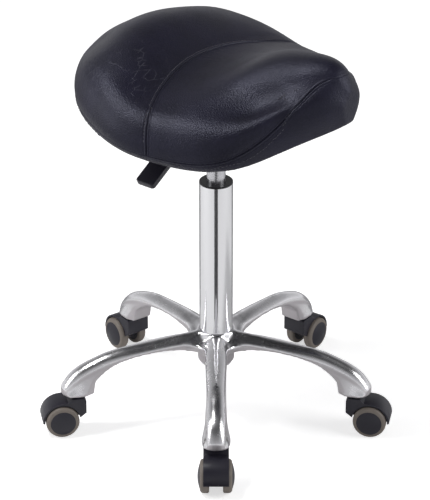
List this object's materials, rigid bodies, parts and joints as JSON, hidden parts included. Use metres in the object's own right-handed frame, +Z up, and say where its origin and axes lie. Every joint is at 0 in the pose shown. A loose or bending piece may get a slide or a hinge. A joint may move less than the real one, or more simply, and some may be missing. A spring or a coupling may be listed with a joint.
{
  "type": "saddle stool",
  "caption": "Swivelling saddle stool: upholstered saddle-shaped seat on a lever-released gas column, over a polished star base with twin-wheel casters.",
  "frame": {"origin": "on the floor, under the axis of the column", "axes": "+X the way the sitter faces (the narrow nose of the saddle), +Y the sitter's left, +Z up along the column"},
  "size_m": [0.5279, 0.506, 0.628],
  "materials": {
    "casting": "polished die casting with matte side walls",
    "chromed_tube": "bright chrome",
    "piston_steel": "ground steel, dull grey",
    "inner_steel": "plain steel",
    "guide_plastic": "moulded, satin black",
    "caster_plastic": "moulded, satin blue-black",
    "tread": "matte grey-brown soft tread",
    "bumper_rubber": "matte black",
    "mechanism_steel": "satin black powder coat",
    "plywood": "raw plywood",
    "foam": "moulded polyurethane foam",
    "upholstery": "fine-grained satin vinyl, blue-black",
    "lining": "black woven lining",
    "fasteners": "zinc plated"
  },
  "bodies": {
    "base": {"star_base": "casting", "column_tube": "chromed_tube", "guide_bush": "guide_plastic", "thrust_bearing": "inner_steel", "caster_grip_rings": "fasteners"},
    "rod": {"piston_rod": "inner_steel", "bearing_upper_race": "inner_steel", "rubber_bumper": "bumper_rubber", "rod_clip": "inner_steel"},
    "seat": {"piston_cylinder": "piston_steel", "rod_guide_seal": "guide_plastic", "mechanism_plate": "mechanism_steel", "mechanism_tray": "mechanism_steel", "lever_pivot_pin": "fasteners", "seat_board": "plywood", "dust_cover": "lining", "tee_nuts": "fasteners", "mounting_bolts": "fasteners", "seat_foam": "foam", "cover_band_and_nose": "upholstery", "cover_middle_panel": "upholstery", "cover_rear_panel": "upholstery"},
    "valve": {"valve_pin": "inner_steel"},
    "lever": {"lever_rod": "mechanism_steel", "lever_paddle": "caster_plastic"},
    "caster_1": {"caster_1_stem": "fasteners", "caster_1_hood": "caster_plastic", "caster_1_axle": "fasteners"},
    "caster_1_rolling_a": {"caster_1_wheel_a": "caster_plastic", "caster_1_tread_a": "tread"},
    "caster_1_rolling_b": {"caster_1_wheel_b": "caster_plastic", "caster_1_tread_b": "tread"},
    "caster_2": {"caster_2_stem": "fasteners", "caster_2_hood": "caster_plastic", "caster_2_axle": "fasteners"},
    "caster_2_rolling_a": {"caster_2_wheel_a": "caster_plastic", "caster_2_tread_a": "tread"},
    "caster_2_rolling_b": {"caster_2_wheel_b": "caster_plastic", "caster_2_tread_b": "tread"},
    "caster_3": {"caster_3_stem": "fasteners", "caster_3_hood": "caster_plastic", "caster_3_axle": "fasteners"},
    "caster_3_rolling_a": {"caster_3_wheel_a": "caster_plastic", "caster_3_tread_a": "tread"},
    "caster_3_rolling_b": {"caster_3_wheel_b": "caster_plastic", "caster_3_tread_b": "tread"},
    "caster_4": {"caster_4_stem": "fasteners", "caster_4_hood": "caster_plastic", "caster_4_axle": "fasteners"},
    "caster_4_rolling_a": {"caster_4_wheel_a": "caster_plastic", "caster_4_tread_a": "tread"},
    "caster_4_rolling_b": {"caster_4_wheel_b": "caster_plastic", "caster_4_tread_b": "tread"},
    "caster_5": {"caster_5_stem": "fasteners", "caster_5_hood": "caster_plastic", "caster_5_axle": "fasteners"},
    "caster_5_rolling_a": {"caster_5_wheel_a": "caster_plastic", "caster_5_tread_a": "tread"},
    "caster_5_rolling_b": {"caster_5_wheel_b": "caster_plastic", "caster_5_tread_b": "tread"}
  },
  "joints": [
    {"name": "seat_swivel", "type": "hinge", "parent": "base", "child": "rod", "pos_m": [0, 0, 0.085], "axis": [0, 0, 1], "continuous": true},
    {"name": "seat_height", "type": "slide", "parent": "rod", "child": "seat", "axis": [0, 0, 1], "range_m": [-0.05, 0.08]},
    {"name": "lever_lift", "type": "hinge", "parent": "seat", "child": "lever", "pos_m": [0, -0.034, 0.4748], "axis": [-1, 0, 0], "range_deg": [0, 5], "stiffness_Nm_per_rad": 2, "springref_deg": -3.44},
    {"name": "valve_press", "type": "slide", "parent": "seat", "child": "valve", "axis": [0, 0, -1], "range_m": [0, 0.003]},
    {"name": "caster_1_swivel", "type": "hinge", "parent": "base", "child": "caster_1", "pos_m": [0.13421, -0.17179, 0.06], "axis": [0, 0, 1], "continuous": true},
    {"name": "caster_1_roll_a", "type": "hinge", "parent": "caster_1", "child": "caster_1_rolling_a", "pos_m": [0.1493, -0.19109, 0.025], "axis": [0.788, 0.6157, 0], "continuous": true},
    {"name": "caster_1_roll_b", "type": "hinge", "parent": "caster_1", "child": "caster_1_rolling_b", "pos_m": [0.1493, -0.19109, 0.025], "axis": [0.788, 0.6157, 0], "continuous": true},
    {"name": "caster_2_swivel", "type": "hinge", "parent": "base", "child": "caster_2", "pos_m": [0.20485, 0.07456, 0.06], "axis": [0, 0, 1], "continuous": true},
    {"name": "caster_2_roll_a", "type": "hinge", "parent": "caster_2", "child": "caster_2_rolling_a", "pos_m": [0.22659, 0.08587, 0.025], "axis": [-0.4617, 0.887, 0], "continuous": true},
    {"name": "caster_2_roll_b", "type": "hinge", "parent": "caster_2", "child": "caster_2_rolling_b", "pos_m": [0.22659, 0.08587, 0.025], "axis": [-0.4617, 0.887, 0], "continuous": true},
    {"name": "caster_3_swivel", "type": "hinge", "parent": "base", "child": "caster_3", "pos_m": [-0.00761, 0.21787, 0.06], "axis": [0, 0, 1], "continuous": true},
    {"name": "caster_3_roll_a", "type": "hinge", "parent": "caster_3", "child": "caster_3_rolling_a", "pos_m": [-0.00846, 0.24235, 0.025], "axis": [-0.9994, -0.0349, 0], "continuous": true},
    {"name": "caster_3_roll_b", "type": "hinge", "parent": "caster_3", "child": "caster_3_rolling_b", "pos_m": [-0.00846, 0.24235, 0.025], "axis": [-0.9994, -0.0349, 0], "continuous": true},
    {"name": "caster_4_swivel", "type": "hinge", "parent": "base", "child": "caster_4", "pos_m": [-0.20955, 0.06009, 0.06], "axis": [0, 0, 1], "continuous": true},
    {"name": "caster_4_roll_a", "type": "hinge", "parent": "caster_4", "child": "caster_4_rolling_a", "pos_m": [-0.23311, 0.06684, 0.025], "axis": [-0.2756, -0.9613, 0], "continuous": true},
    {"name": "caster_4_roll_b", "type": "hinge", "parent": "caster_4", "child": "caster_4_rolling_b", "pos_m": [-0.23311, 0.06684, 0.025], "axis": [-0.2756, -0.9613, 0], "continuous": true},
    {"name": "caster_5_swivel", "type": "hinge", "parent": "base", "child": "caster_5", "pos_m": [-0.1219, -0.18073, 0.06], "axis": [0, 0, 1], "continuous": true},
    {"name": "caster_5_roll_a", "type": "hinge", "parent": "caster_5", "child": "caster_5_rolling_a", "pos_m": [-0.13814, -0.19908, 0.025], "axis": [0.749, -0.6626, 0], "continuous": true},
    {"name": "caster_5_roll_b", "type": "hinge", "parent": "caster_5", "child": "caster_5_rolling_b", "pos_m": [-0.13814, -0.19908, 0.025], "axis": [0.749, -0.6626, 0], "continuous": true}
  ],
  "couplings": [
    {"joint": "valve_press", "follows": "lever_lift", "m_per_rad": 0.034}
  ]
}
